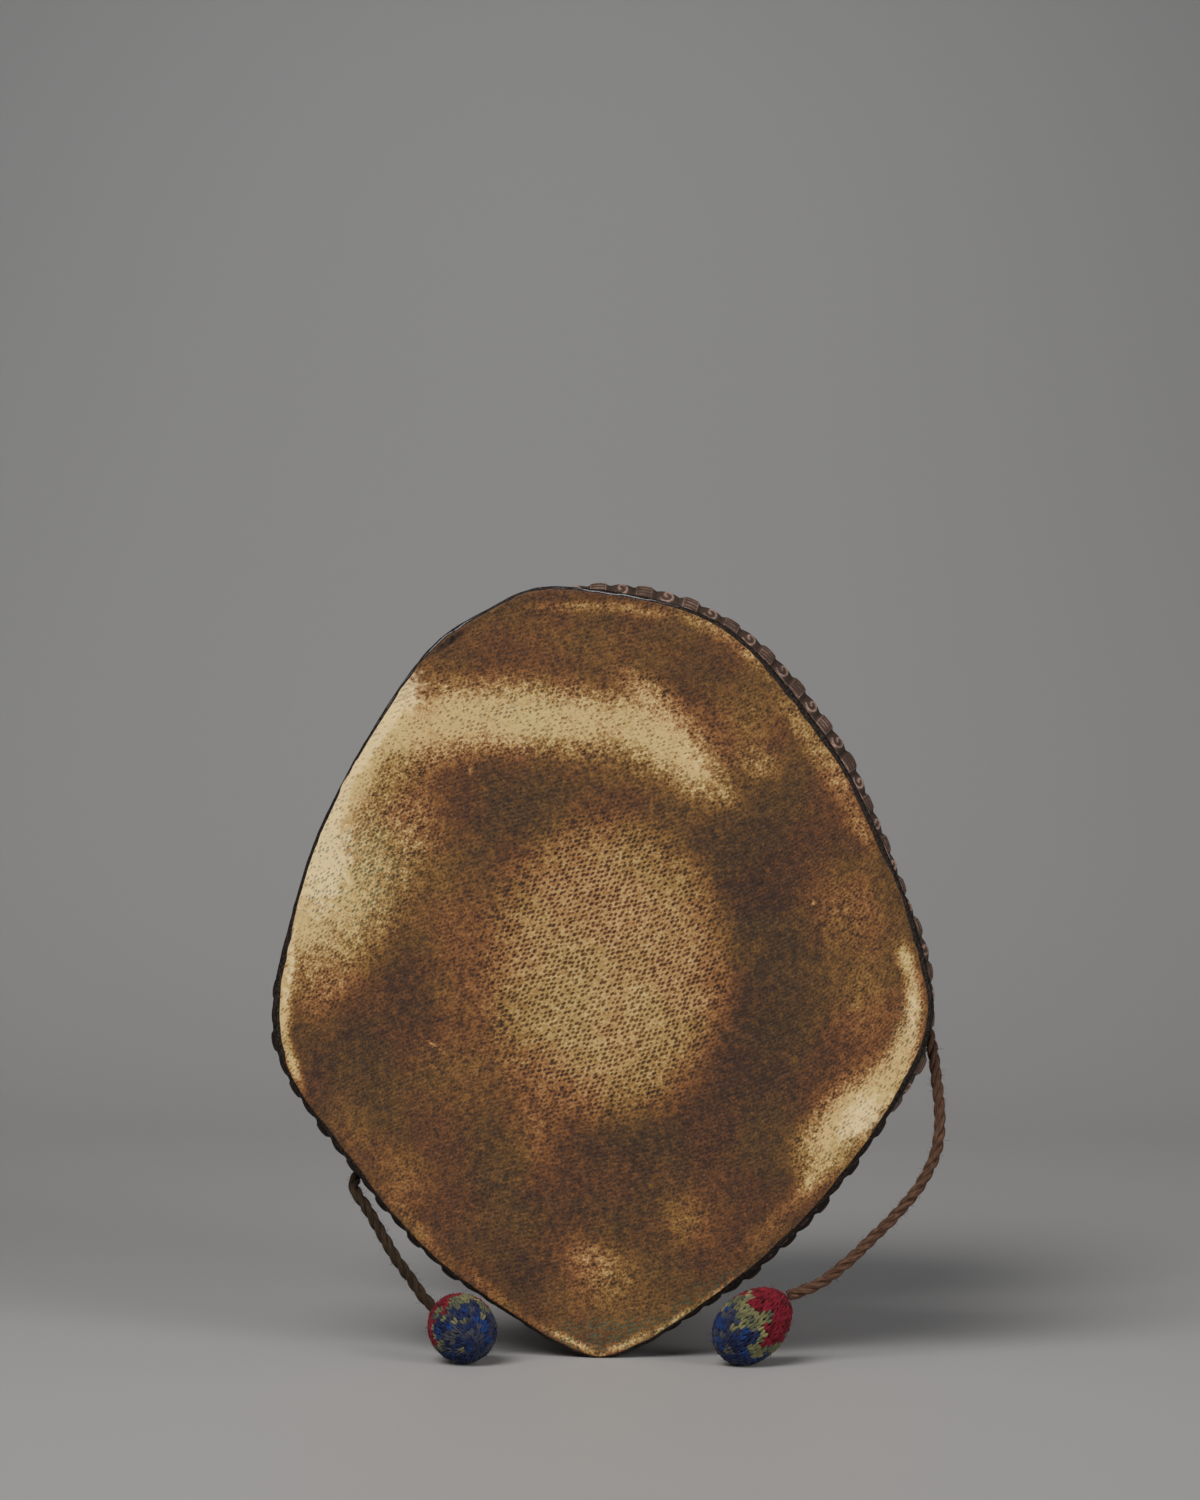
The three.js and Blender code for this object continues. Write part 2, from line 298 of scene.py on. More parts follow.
def hide_material():
    """The point value level runs from 0, the darkest stain, to 1, bare cream hide. The values disc, chalk,
    green and black are 1 where those marks are, the painted highlight value is 1 on a highlight painted along
    the top of the rolled edge, and pores is where the hide's pores lie."""
    shade = Shade("hide")
    level = shade.point("level")
    pore_place = shade.point("pores", "Vector")
    fine, middling = shade.noise(0.42, 2, 0.6), shade.noise(1.5, 3, 0.6)
    cloud, broad = shade.noise(5, 4, 0.6), shade.noise(16, 3)
    distance, cell = shade.cells(pore_place, 0.45)
    each = shade.times(cell, 0.12)
    pit_size = shade.total(shade.step(level, 0.75, 1.0, 0.32, 0.2), each)
    pit = shade.step(shade.math("SUBTRACT", distance, pit_size), -0.12, 0.09, 1, 0)
    disc = shade.point("disc")
    pit_strength = shade.total(shade.step(level, 0.2, 0.7, 0.05, 0.24), shade.times(disc, 0.23))
    speckle = shade.times(shade.step(level, 0.3, 0.6, 0.5, 1.3), shade.step(level, 0.75, 1.0, 1, 0.6))
    speckle = shade.times(speckle, shade.step(disc, 0, 1, 1, 0.5))
    uneven = shade.total(shade.centred(fine, 1.1), shade.centred(middling, 0.9), shade.centred(cloud, 0.45))
    tone = shade.total(level, shade.times(uneven, speckle), shade.times(shade.times(pit, pit_strength), -1.0))
    red, olive = shade.ramp(tone, RED_HIDE), shade.ramp(tone, OLIVE_HIDE)
    colour = shade.mix(shade.step(broad, 0.38, 0.62), red, olive)
    chalk = shade.step(shade.total(shade.point("chalk"), shade.centred(middling, 1.2)), 0.35, 0.75)
    colour = shade.mix(shade.times(chalk, 0.8), colour, CHALK)
    speck = shade.step(shade.noise(0.6, 1), 0.63, 0.7)
    speck = shade.math("MAXIMUM", speck, shade.times(pit, 0.6))
    green = shade.times(speck, shade.step(shade.point("green"), 0.1, 0.7))
    colour = shade.mix(shade.times(green, 0.75), colour, VERDIGRIS)
    soot = shade.total(shade.point("black"), shade.centred(middling, 0.8), shade.centred(fine, 0.5))
    soot = shade.step(soot, 0.35, 0.65)
    colour = shade.mix(soot, colour, shade.mix(shade.step(fine, 0.4, 0.66), SOOT, WORN_SOOT))
    # A painted highlight: a thin light line along the top of the rolled edge
    painted_highlight = shade.step(shade.total(shade.point("painted_highlight"), shade.centred(fine, 0.6)), 0.4, 0.7)
    colour = shade.mix(painted_highlight, colour, HIGHLIGHT_COLOUR)
    shade.bump(shade.times(pit, shade.step(level, 0.2, 0.8, -0.5, -1.0)), 0.14, 0.8)
    shade.bump(fine, 0.05, 0.7)
    return shade.finish(colour, roughness=shade.step(middling, 0.3, 0.7, 0.7, 0.56),
                        specular_ior_level=shade.step(soot, 0, 1, 0.3, 0.16))


def copper_material():
    """The point value relief is 1 on what is rubbed bright, and the darkening value is 1 where the band is
    blackened by painted shade, with a little dirt.
    """
    shade = Shade("copper")
    relief, dirt_and_shade = shade.point("relief"), shade.point("dirt_and_shade")
    fine = shade.noise(0.5, 3, 0.6)
    cloud = shade.noise(3.5, 3, 0.55)
    height = shade.total(relief, shade.centred(fine, 0.35), shade.centred(cloud, 0.5))
    colour = shade.ramp(height, [(0.1, (42, 33, 28)), (0.4, (90, 71, 60)), (0.65, (118, 94, 80)),
                                 (0.95, (238, 198, 180))])
    # Painted shade, with a little dirt: darkened parts go near black, raised parts less so, and lose metal
    # and reflection
    shade_and_dirt = shade.times(dirt_and_shade, shade.step(height, 0.5, 1.2, 1, 0.6))
    colour = shade.mix(shade_and_dirt, colour, shade.mix(fine, (10, 8, 8), (34, 26, 22)))
    metal = shade.times(shade.step(height, 0.1, 0.5, 0.3, 0.65), shade.step(dirt_and_shade, 0, 1, 1, 0.05))
    shade.bump(fine, 0.06, 0.6)
    return shade.finish(colour, metallic=metal, roughness=shade.step(height, 0.2, 0.9, 0.62, 0.38),
                        specular_ior_level=shade.step(dirt_and_shade, 0.3, 0.9, 0.5, 0.12))


def wood_material():
    shade = Shade("wood")
    grain = shade.noise(place=shade.stretch((1.2, 14, 1.2)), detail=5, rough=0.6)
    broad = shade.noise(9, 3)
    colour = shade.mix(grain, (38, 24, 17), (92, 60, 38))
    colour = shade.mix(shade.step(broad, 0.5, 0.75, 0, 0.5), colour, (116, 80, 52))
    scratch = shade.noise(place=shade.stretch((6, 0.35, 6), (20, 0, 15)), detail=1)
    scratch = shade.step(scratch, 0.62, 0.7, 0, 0.4)
    colour = shade.mix(scratch, colour, (130, 98, 68))
    shade.bump(grain, 0.12, 0.5)
    return shade.finish(colour, roughness=shade.step(broad, 0.3, 0.7, 0.36, 0.55))


def fibre_material(name, dark, light, stray):
    """Twisted yarn with streaks along its strands."""
    shade = Shade(name)
    streak = shade.noise(place=shade.point("fibre", "Vector"), detail=3, rough=0.6)
    cloud = shade.noise(5, 3)
    colour = shade.mix(shade.step(streak, 0.32, 0.68), dark, light)
    colour = shade.mix(shade.step(cloud, 0.5, 0.68, 0, 0.6), colour, stray)
    shade.bump(streak, 0.25, 0.8)
    return shade.finish(colour, roughness=0.95, specular_ior_level=0.15, sheen_weight=0.04)


def yarn_material():
    shade = Shade("yarn")
    streak = shade.noise(place=shade.point("fibre", "Vector"), detail=3, rough=0.6)
    tint = shade.point("tint", "Color")
    made = shade.node("ShaderNodeMix", data_type="RGBA", blend_type="MULTIPLY")
    made.inputs["Factor"].default_value = 1.0
    shade.put(tint, made.inputs[6])
    shade.put(shade.mix(shade.step(streak, 0.3, 0.7), (150, 150, 150), (255, 255, 255)), made.inputs[7])
    shade.bump(streak, 0.2, 0.8)
    return shade.finish(made.outputs[2], roughness=0.95, specular_ior_level=0.15, sheen_weight=0.05)


# ---- curves, noise and mesh building

def spline(points, samples, closed=False):
    """A Catmull-Rom curve through points, with samples steps to each span."""
    points = np.array(points, float)
    if closed:
        around = [np.roll(points, shift, axis=0) for shift in (1, 0, -1, -2)]
    else:
        longer = np.concatenate([[2 * points[0] - points[1]], points, [2 * points[-1] - points[-2]]])
        around = [longer[start:len(longer) - 3 + start] for start in range(4)]
    t = np.linspace(0, 1, samples, endpoint=False)[None, :, None]
    a, b, c, d = (side[:, None, :] for side in around)
    curve = b + 0.5 * ((c - a) * t + (2 * a - 5 * b + 4 * c - d) * t**2 + (3 * b - a - 3 * c + d) * t**3)
    curve = curve.reshape(-1, points.shape[1])
    return curve if closed else np.concatenate([curve, points[-1:]])


def lengths_along(curve):
    return np.concatenate([[0], np.cumsum(np.linalg.norm(np.diff(curve, axis=0), axis=1))])


def between(places, along, rows):
    """Rows of numbers, which lie at along, interpolated at places."""
    return np.stack([np.interp(places, along, part) for part in rows.T], axis=-1)


def resample(curve, places):
    """Points of a curve at distances from its start."""
    return between(places, lengths_along(curve), curve)


def unit(vectors):
    return vectors / np.maximum(np.linalg.norm(vectors, axis=-1, keepdims=True), 1e-12)


def smooth(value, low, high):
    share = np.clip((value - low) / (high - low), 0, 1)
    return share * share * (3 - 2 * share)


def noise(places, size, seed):
    """Smooth noise from -1 to 1 at places (..., 3), with bumps about size apart."""
    table = np.random.default_rng(seed).uniform(-1, 1, (32, 32, 32))
    scaled = np.asarray(places) / size + 97
    cell = np.floor(scaled).astype(int)
    part = smooth(scaled - cell, 0, 1)
    total = np.zeros(scaled.shape[:-1])
    for corner in itertools.product((0, 1), repeat=3):
        weight = np.prod([part[..., i] if corner[i] else 1 - part[..., i] for i in range(3)], axis=0)
        total += weight * table[tuple((cell[..., i] + corner[i]) % 32 for i in range(3))]
    return total


def grid_faces(rows, columns, loop_rows=False):
    """Quads of a grid numbered row by row, which closes round its columns and, for a loop, its rows."""
    r, c = np.meshgrid(np.arange(rows if loop_rows else rows - 1), np.arange(columns), indexing="ij")
    up, on = (r + 1) % rows, (c + 1) % columns
    corners = (r * columns + c, r * columns + on, up * columns + on, up * columns + c)
    return np.stack(corners, axis=-1).reshape(-1, 4)


def signed_volume(points, quads):
    a, b, c, d = (points[quads[:, i]] for i in range(4))
    return np.sum(a * np.cross(b, c)) + np.sum(a * np.cross(c, d))


def make_piece(name, points, faces, material, values, stands_for):
    """A smooth mesh from points in millimetres, with its point values, in place of the CAD nodes it stands
    for."""
    mesh = bpy.data.meshes.new(name)
    mesh.from_pydata((points * MM).tolist(), [], faces)
    mesh.polygons.foreach_set("use_smooth", [True] * len(mesh.polygons))
    kinds = {1: ("FLOAT", "value"), 3: ("FLOAT_VECTOR", "vector"), 4: ("FLOAT_COLOR", "color")}
    for key, value in values.items():
        kind, field = kinds[1 if value.ndim == 1 else value.shape[1]]
        mesh.attributes.new(key, kind, "POINT").data.foreach_set(field, value.astype(np.float32).ravel())
    mesh.materials.append(material)
    piece = add_object(name, mesh)
    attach(piece, "root")
    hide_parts(*stands_for)
    return piece


def turned_piece(name, grid, material, values, stands_for, loop=False):
    """A closed piece from a grid of rings (rows, columns, 3). Without a loop, a fan closes each end ring."""
    rows, columns = grid.shape[:2]
    points = grid.reshape(-1, 3)
    quads = grid_faces(rows, columns, loop)
    flip = signed_volume(points, quads) < 0
    faces = [quad[::-1] if flip else quad for quad in quads.tolist()]
    flat = {key: value.reshape(rows * columns, *value.shape[2:]) for key, value in values.items()}
    if not loop:
        for row, outward in ((0, not flip), (rows - 1, flip)):
            first = row * columns
            middle = len(points)
            points = np.concatenate([points, grid[row].mean(axis=0)[None]])
            flat = {key: np.concatenate([value, value[first:first + columns].mean(axis=0)[None]])
                    for key, value in flat.items()}
            for column in range(columns):
                edge = [first + column, first + (column + 1) % columns]
                faces.append([middle, *(edge[::-1] if outward else edge)])
    make_piece(name, points, faces, material, flat, stands_for)


def tubes(paths, radii, sides):
    """Closed tubes along paths (tubes, steps, 3), as one set of points, faces and fibre places."""
    count, steps = paths.shape[:2]
    tangent = unit(np.gradient(paths, axis=1))
    least = np.eye(3)[np.argmin(np.abs(tangent[:, 0]), axis=1)]
    side = unit(np.cross(tangent[:, 0], least))
    sideways = np.empty_like(paths)
    for step in range(steps):
        side = unit(side - np.sum(side * tangent[:, step], axis=-1, keepdims=True) * tangent[:, step])
        sideways[:, step] = side
    upward = np.cross(tangent, sideways)
    angle = np.arange(sides) * 2 * math.pi / sides
    spread = np.broadcast_to(radii, (count, steps))[..., None, None]
    ring = sideways[:, :, None] * np.cos(angle)[:, None] + upward[:, :, None] * np.sin(angle)[:, None]
    points = paths[:, :, None] + ring * spread
    along = np.concatenate([np.zeros((count, 1)),
                            np.cumsum(np.linalg.norm(np.diff(paths, axis=1), axis=-1), axis=1)], axis=1)
    start = np.arange(count)[:, None] * 3.7
    fibre = np.stack(np.broadcast_arrays(0.7 * along[..., None] + start[..., None],
                                         2.2 * np.cos(angle), 2.2 * np.sin(angle)), axis=-1)
    one = grid_faces(steps, sides)
    offsets = (np.arange(count) * steps * sides)[:, None, None]
    faces = (one[None] + offsets).reshape(-1, 4).tolist()
    cap = np.arange(sides)
    near = (offsets[:, 0] + cap[::-1]).tolist()
    far = (offsets[:, 0] + (steps - 1) * sides + cap).tolist()
    return points.reshape(-1, 3), faces + near + far, fibre.reshape(-1, 3)


def join(parts):
    """Parts of points, faces and further point arrays, as one."""
    counts = np.cumsum([0] + [len(part[0]) for part in parts])
    faces = [[corner + first for corner in face] for part, first in zip(parts, counts) for face in part[1]]
    others = [np.concatenate([part[i] for part in parts]) for i in range(len(parts[0])) if i != 1]
    return (others[0], faces, *others[1:])


def path_frames(path):
    """Two directions across a path at each of its points, without twist."""
    tangent = unit(np.gradient(path, axis=0))
    side = unit(np.cross(tangent[0], (0.3, 0.2, 0.9)))
    sideways = np.empty_like(path)
    for step, along in enumerate(tangent):
        side = unit(side - np.dot(side, along) * along)
        sideways[step] = side
    return sideways, np.cross(tangent, sideways)


def twisted(path, radius, pitch, plies, sides):
    """Strands twisted round each other along an evenly stepped path."""
    sideways, upward = path_frames(path)
    angle = 2 * math.pi * lengths_along(path) / pitch
    strand = radius * (0.54 if plies == 2 else 0.5)
    uneven = 1 + 0.1 * np.stack([noise(path + 9 * ply, 2.2, 5) for ply in range(plies)])
    starts = np.arange(plies) * 2 * math.pi / plies
    centres = [path + (sideways * np.cos(angle + start)[:, None] + upward * np.sin(angle + start)[:, None])
               * (radius - strand) for start in starts]
    return tubes(np.stack(centres), strand * uneven, sides)


WHISKER_STEPS, WHISKER_SIDES = 5, 3


def whiskers(roots, outward, length, radius, rng):
    """Short curved fibres that stand out of a yarn's surface."""
    count = len(roots)
    lean = unit(outward + rng.normal(0, 0.7, (count, 3)))
    bend = np.clip(rng.normal(0, 0.4, (count, 3)), -0.6, 0.6)
    reach = length * rng.uniform(0.4, 1, (count, 1, 1))
    t = np.linspace(0, 1, WHISKER_STEPS)[None, :, None]
    paths = roots[:, None] + reach * (t * lean[:, None] + t**2 * bend[:, None])
    return tubes(paths, radius * np.array([1, 1, 0.9, 0.7, 0.3]), WHISKER_SIDES)


# ---- the drum's shape

EDGE_SAMPLES = 200  # to each span of a head's outline


def bezier(points, t):
    a, b, c, d = (np.array(point, float) for point in points)
    t = np.asarray(t)[..., None]
    return a * (1 - t)**3 + 3 * b * t * (1 - t)**2 + 3 * c * t * t * (1 - t) + d * t**3


def outer_wall(t):
    """Depth below the bowl's rim, and the size there as a share of the head's."""
    return bezier([(0, 1), (15, 0.955), (32, 0.72), (BOWL_DEPTH, NECK_SHARE)], t)


def inner_wall(t):
    return bezier([(0, 1), (13, 0.955), (27, 0.72), (BOWL_DEPTH - CROWN, 0.2)], t)


def wall_share(depth):
    table = outer_wall(np.linspace(0, 1, 400))
    return np.interp(depth, table[:, 0], table[:, 1])


class Head:
    """One end of the drum: the side it faces, and its outline by turn, from 0 at the tip to 1 there again."""

    def __init__(self, side, edge):
        angle, distance = np.radians([point[0] for point in edge]), np.array([point[1] for point in edge])
        corners = np.stack([distance * np.cos(angle), distance * np.sin(angle)], -1)
        curve = spline(corners, EDGE_SAMPLES, closed=True)
        self.side = side
        self.curve = np.concatenate([curve, curve[:1]])
        self.length = lengths_along(self.curve)[-1]
        self.turn = lengths_along(self.curve) / self.length
        self.tangent = unit(np.gradient(self.curve, axis=0))

    def edge(self, turn):
        return between(turn % 1, self.turn, self.curve)

    def degrees(self, turn):
        """The direction of the outline's point from the head's middle, from 0 to 360."""
        edge = self.edge(turn)
        return np.degrees(np.arctan2(edge[..., 1], edge[..., 0])) % 360

    def rings(self, turn, depth, share=1.0, out=0.0, rounding=0.0):
        """Points on the drum's rings. Share shrinks the head's outline, out moves it along its normal, and
        rounding turns it into the neck's circle."""
        turn, depth, share, out, rounding = np.broadcast_arrays(turn, depth, share, out, rounding)
        edge = self.edge(turn)
        tangent = unit(between(turn % 1, self.turn, self.tangent))
        outward = np.stack([tangent[..., 1], -tangent[..., 0]], -1)
        shaped = edge * share[..., None] + outward * out[..., None]
        circle = unit(edge) * (NECK_RADIUS / NECK_SHARE * share + out)[..., None]
        flat = shaped + (circle - shaped) * rounding[..., None]
        return np.stack([flat[..., 0] + HEAD_X, self.side * depth, flat[..., 1] + HEAD_HEIGHT], -1)

    def boss_height(self, turn):
        degrees = self.degrees(turn)
        near = 0.5 + 0.5 * np.cos(np.radians(degrees - TALL_SIDE))
        tall = FLAT_BOSS + (TALL_BOSS - FLAT_BOSS) * smooth(near, 0.35, 0.85)
        wear = TIP_WEAR * np.exp(-((degrees - 270) / TIP_WIDTH) ** 2)
        return (tall if self.side < 0 else BOSS_HEIGHT) * (1 - wear)


def stand(points, floor=0.0):
    """The same points, none below the ground."""
    points[..., 2] = np.maximum(points[..., 2], floor)
    return points


def turns(columns):
    return np.arange(columns)[None] / columns


# ---- hides

# Stains: place from the head's middle, half length, half width, tilt in degrees, strength. The disc is rubbed
# and pitted, pale is bare cream hide, chalk is paler still, tan and gold are thinly stained, dark is stained
# most, green is specked and black is sooty.
FRONT_STAINS = {
    "disc": [(1.5, 1, 22.3, 27.3, 0, 0.95)],
    "pale": [
        (-37, 46, 8, 7, 50, 1.1), (-27, 47.5, 9, 6.2, 10, 1.1), (-16, 48, 10, 6, 0, 1.1),
        (-5, 47, 9, 5.6, -5, 1), (5, 46.5, 8, 5.2, -10, 0.95), (12, 43.5, 7, 5.5, -40, 1),
        (17.5, 39, 6, 4.4, -50, 1), (9, 52, 6, 3, -40, 0.7), (30, 39, 3, 4, 80, 0.4),
        (22.5, 34, 4, 2.5, -40, 0.5), (-46, 37, 9, 4.2, 58, 1.2), (-50.5, 27, 9, 5.2, 66, 1),
        (-53, 17, 9, 5.6, 72, 1), (-48, 13, 10, 6, 70, 0.75), (-56, 8, 7, 4.2, 75, 1),
        (-59.2, -1, 8, 1.5, 82, 1.1), (-60, -9, 6, 1.3, 90, 1.1), (-58.4, -17, 5, 1.1, 110, 1),
        (47, -27, 8, 5, 50, 1.2), (41.5, -33, 6, 4.5, 55, 0.8), (52, -22, 6, 3.5, 55, 1),
        (40.5, -38.5, 5, 1.8, 50, 0.8), (57.6, 2, 4, 1.5, -75, 1), (59, -6, 5, 1.6, 90, 1.2),
        (57.3, -14, 6, 2.4, 75, 1.2), (54.5, -20, 5, 2.6, 60, 1.1), (-5, -70, 6, 0.8, -25, 0.8),
        (5, -70.2, 6, 0.8, 25, 0.8), (14, -66, 5, 0.8, 35, 0.7), (22, -61, 5, 0.9, 40, 0.7),
        (3, -8, 12, 14, 0, 0.22), (-31.4, -14.1, 1.9, 0.22, -40, 0.9), (39.9, 13.2, 0.4, 0.4, 0, 1.3),
        (-24.4, 38, 0.4, 0.4, 0, 0.9),
    ],
    "chalk": [
        (-42.5, 45, 13, 2.6, 57, 1.1), (-52, 26, 12, 2.6, 68, 0.9), (-58.8, 0, 10, 1.2, 84, 0.6),
        (-36, 51, 6, 4, 40, 0.5), (-51, 18, 11, 4.5, 70, 0.75), (49, -27, 7, 4, 50, 0.75),
        (58.8, -7, 8, 1.2, 88, 0.6), (17, 41, 5, 2.5, -50, 0.45),
    ],
    "tan": [
        (-39, 27, 11, 9, 60, 0.8), (-44, 21, 10, 9, 60, 0.9), (-45, 12, 9, 8, 70, 0.85),
        (-51, 3, 8, 6.5, 70, 0.8), (-54, -4, 5, 5, 80, 0.6), (20, 65.5, 7, 1.6, -28, 0.9),
        (29, 59.5, 7, 1.8, -42, 0.9), (39, 45, 8, 2.2, -55, 1), (44, 37, 6, 2.2, -55, 1),
        (48.5, 28, 5, 1.8, -60, 0.8), (-2, 68.6, 10, 1.1, 0, 0.7), (8, 67.6, 6, 1.1, -8, 0.65),
        (0.5, -56, 5.5, 5, 0, 0.7), (-4, -53, 4, 3, 0, 0.4), (16.5, -46.5, 5, 5, 0, 0.45),
    ],
    "gold": [
        (27, 47, 8, 8, -50, 0.85), (-27, 5, 8, 17, 0, 0.65), (-30, -20, 8, 8, 0, 0.4),
        (-20, -14, 8, 10, 0, 0.7), (47, 12, 7, 8, 0, 1.1), (50, -5, 6, 9, 0, 1.1), (5, 38, 12, 4, 0, 0.5),
        (16, 30, 8, 6, 0, 0.4), (0, 62, 22, 6, 0, 0.45), (-5, -40, 30, 10, 0, 0.12), (-12, -29, 5, 8, 0, 0.9),
        (-37, -39, 7, 5, -50, 0.8), (-20, -61, 9, 1.2, -42, 1.2), (-35, -48, 9, 1.3, -50, 1.2),
        (2, -62, 14, 6, 0, 0.6), (-28, 62, 8, 4, 40, 0.5), (-46, -30, 8, 3, -52, 0.6),
        (33, -47, 8, 2, 48, 0.8),
    ],
    "dark": [
        (-22, 37, 11, 5, 0, 0.2), (-16, 31, 8, 6, 0, 0.35), (-29, 30, 5, 12, 70, 0.35),
        (28, 20, 8, 10, 0, 0.7), (15, 24.5, 7, 3, -10, 0.9), (31, 3, 9, 20, 0, 0.65),
        (27, -18, 10, 12, 0, 0.8), (8, -32, 15, 5, 0, 0.8), (0, -42, 24, 7, 0, 0.45),
        (20, 57, 9, 4, -30, 0.3), (-15, -58, 5, 5, 0, 0.8), (35, -38, 6, 6, 0, 0.7),
        (-36, -2, 5, 14, 10, 0.6), (-45, -14, 7, 8, 0, 0.5), (-52, -20, 5, 5, 0, 0.4),
        (-28, 62, 6, 3, 40, 0.5), (4, 66, 8, 2, 0, 0.5),
    ],
    "green": [
        (-48, 18, 14, 12, 60, 0.7), (-18, 49, 20, 6, 0, 0.5), (45, -30, 10, 7, 40, 0.4),
        (3, -69, 14, 4, 0, 0.9), (20, -61, 10, 3, 35, 0.8), (57, -12, 10, 3, 73, 0.6),
        (-6, -10, 18, 20, 0, 0.2),
    ],
    "black": [(-28, 62.4, 8, 1.1, 37, 0.6), (-14, -62.5, 7, 1.2, -35, 0.4), (-44, 27, 1.2, 0.8, 0, 0.4)],
}
BACK_STAINS = {
    "disc": [(-3, -4, 22, 24, 0, 0.95)],
    "pale": [
        (38, 40, 14, 4, -55, 1.1), (24, 48, 16, 6, -20, 1), (-12, 52, 14, 5, 15, 0.8),
        (-48, -22, 9, 5, -50, 1), (-56, 8, 12, 2.4, 85, 1), (53, -8, 12, 4, 80, 0.9), (5, -68, 12, 2, 0, 0.8),
        (-18, -48, 6, 5, 0, 0.4),
    ],
    "chalk": [(44, 38, 12, 2, -55, 0.9), (-54, -20, 8, 2, -60, 0.7)],
    "tan": [(40, 18, 9, 14, 0, 0.6), (-14, -48, 10, 8, 0, 0.5)],
    "gold": [
        (30, -20, 16, 14, 0, 0.7), (-40, 26, 12, 14, 0, 0.7), (0, 66, 26, 3, 0, 1),
        (-34, -44, 20, 4, -50, 0.8),
    ],
    "dark": [
        (-26, 38, 14, 9, 30, 1), (26, 8, 8, 20, 0, 0.8), (-4, -34, 22, 7, 0, 0.9), (-34, -12, 8, 16, 0, 0.7),
    ],
    "green": [(38, 38, 14, 5, -55, 0.6), (-48, -22, 9, 5, -50, 0.7), (5, -64, 14, 4, 0, 0.7)],
    "black": [(34, 56, 9, 2, -42, 0.7)],
}
# Where the black of the lap starts, by degrees round the head: how far outside the edge of the face
BLACK_STARTS = {
    0: 0.0, 40: -0.1, 70: 0.1, 95: 0.4, 130: 0.5, 165: 0.3, 178: -0.5, 190: -0.7, 201: 0.0, 230: 0.2,
    255: 0.4, 270: 0.6, 300: 0.15, 330: 0.05, 360: 0.0,
}
HIDE_COLUMNS, FACE_ROWS, EDGE_ROWS, ROLL_ROWS, LAP_ROWS = 480, 90, 22, 16, 14
SOFT, CRISP = 1.2, 3.5  # hardness of a stain's edge
# Bareness: of stained hide, what gold adds and dark takes away, and what tan, disc and pale bring it to
STAINED, GOLD, DARK, TAN, DISC, PALE = 0.27, 0.18, 0.1, 0.68, 0.77, 1.0
SLACK = 0.35  # how far in the middle of a hide lies
HIGHLIGHT_OUT, HIGHLIGHT_HALF_WIDTH = 0.42, 0.1  # the painted highlight on the rolled edge: how far outside the start of the black, and its half width
PORE_PITCH, ROW_PITCH, PORE_SHIFT = 1.04, 0.84, 0.5  # along a row, across the rows, and each row's shift


def stain(x, z, spots, hardness):
    """How strong a group of oval spots is at each place, from 0 to 1."""
    clear = np.ones_like(x)
    for place_x, place_z, half_length, half_width, tilt, strength in spots:
        c, s = math.cos(math.radians(tilt)), math.sin(math.radians(tilt))
        dx, dz = x - place_x, z - place_z
        reach = ((dx * c + dz * s) / half_length) ** 2 + ((dz * c - dx * s) / half_width) ** 2
        clear = clear * (1 - np.clip(strength * np.exp(-reach**hardness), 0, 1))
    return 1 - clear


def stain_values(x, z, stains):
    """The level of bareness, and the other marks, as point values."""
    found = {name: stain(x, z, spots, CRISP if name == "disc" else SOFT) for name, spots in stains.items()}
    level = STAINED + GOLD * found["gold"] - DARK * found["dark"]
    for name, bare in (("tan", TAN), ("disc", DISC), ("pale", PALE)):
        level = level + (bare - level) * found[name]
    return {"level": level} | {name: found[name] for name in ("disc", "chalk", "green", "black")}


def pore_places(points):
    """Where the hide's pores lie in their rows: along a row, across the rows, and a depth of no matter. The
    rows rise to the right, more steeply towards the sides."""
    x, z = points[..., 0], points[..., 2] - HEAD_HEIGHT
    middle, level, steeper = -4.0, 0.2, 0.0002
    across = z - level * x - steeper * (x - middle) ** 3 / 3
    along = x + level * z
    return np.stack([along / PORE_PITCH - PORE_SHIFT * across / ROW_PITCH, across / ROW_PITCH,
                     points[..., 1] * 0.2], -1)


